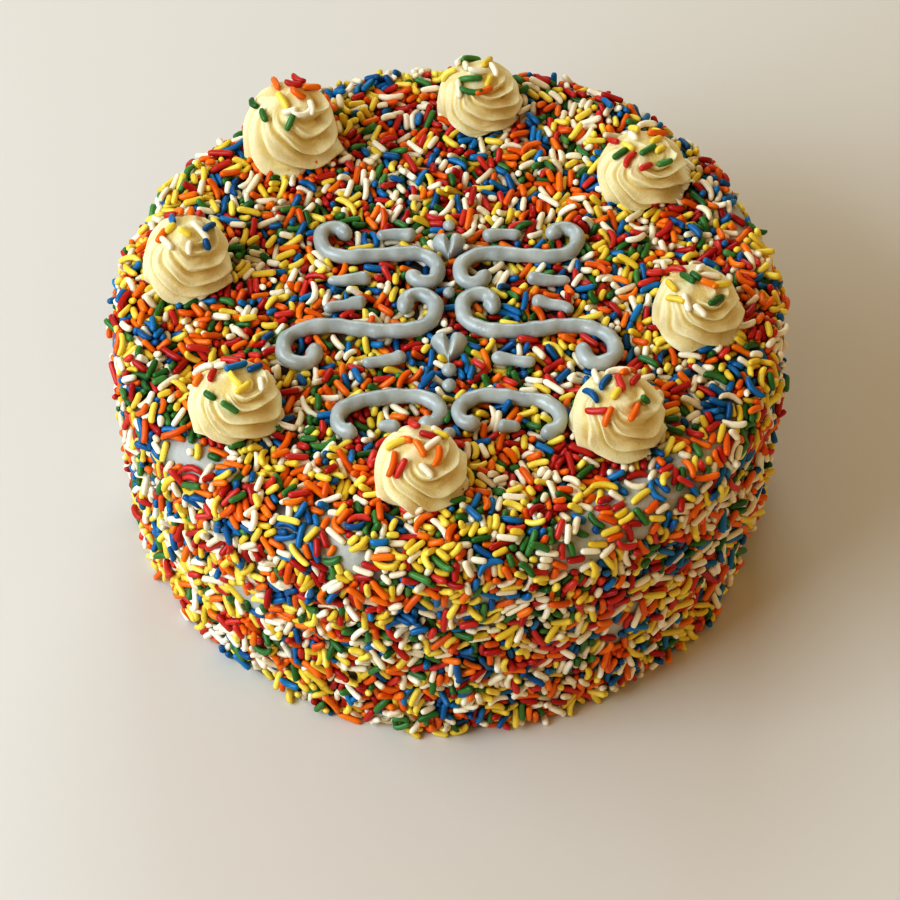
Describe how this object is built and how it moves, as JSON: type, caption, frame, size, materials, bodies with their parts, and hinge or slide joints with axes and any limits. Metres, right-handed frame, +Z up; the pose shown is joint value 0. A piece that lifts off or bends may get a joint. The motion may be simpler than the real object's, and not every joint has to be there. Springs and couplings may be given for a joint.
{
  "type": "birthday cake",
  "caption": "Round birthday cake coated in rainbow sprinkles, with a ring of piped buttercream rosettes and piped icing scrollwork on its flat top.",
  "frame": {"origin": "middle of the flat base, on the surface that the cake stands on", "axes": "+Z up, +X to the right and +Y to the back as the piped hearts are seen upright"},
  "size_m": [0.2107, 0.2094, 0.1152],
  "materials": {
    "sprinkle_coat": "sugar sprinkles in six colours pressed into white frosting, soft gloss",
    "buttercream": "pale yellow buttercream, satin",
    "icing": "grey-blue piped icing, smooth satin"
  },
  "bodies": {
    "root": {"cake": "sprinkle_coat", "rosette_1": "buttercream", "rosette_2": "buttercream", "rosette_3": "buttercream", "rosette_4": "buttercream", "rosette_5": "buttercream", "rosette_6": "buttercream", "rosette_7": "buttercream", "rosette_8": "buttercream", "scroll_upper_right": "icing", "scroll_upper_left": "icing", "scroll_middle_right": "icing", "scroll_middle_left": "icing", "scroll_lower_right": "icing", "scroll_lower_left": "icing", "comma_upper_high_right": "icing", "comma_upper_high_left": "icing", "comma_upper_low_right": "icing", "comma_upper_low_left": "icing", "comma_middle_high_right": "icing", "comma_middle_high_left": "icing", "comma_middle_low_right": "icing", "comma_middle_low_left": "icing", "comma_lower_right": "icing", "comma_lower_left": "icing", "heart_upper": "icing", "heart_middle": "icing", "pearl_1": "icing", "pearl_2": "icing", "pearl_3": "icing", "pearl_4": "icing", "pearl_5": "icing"}
  },
  "joints": []
}
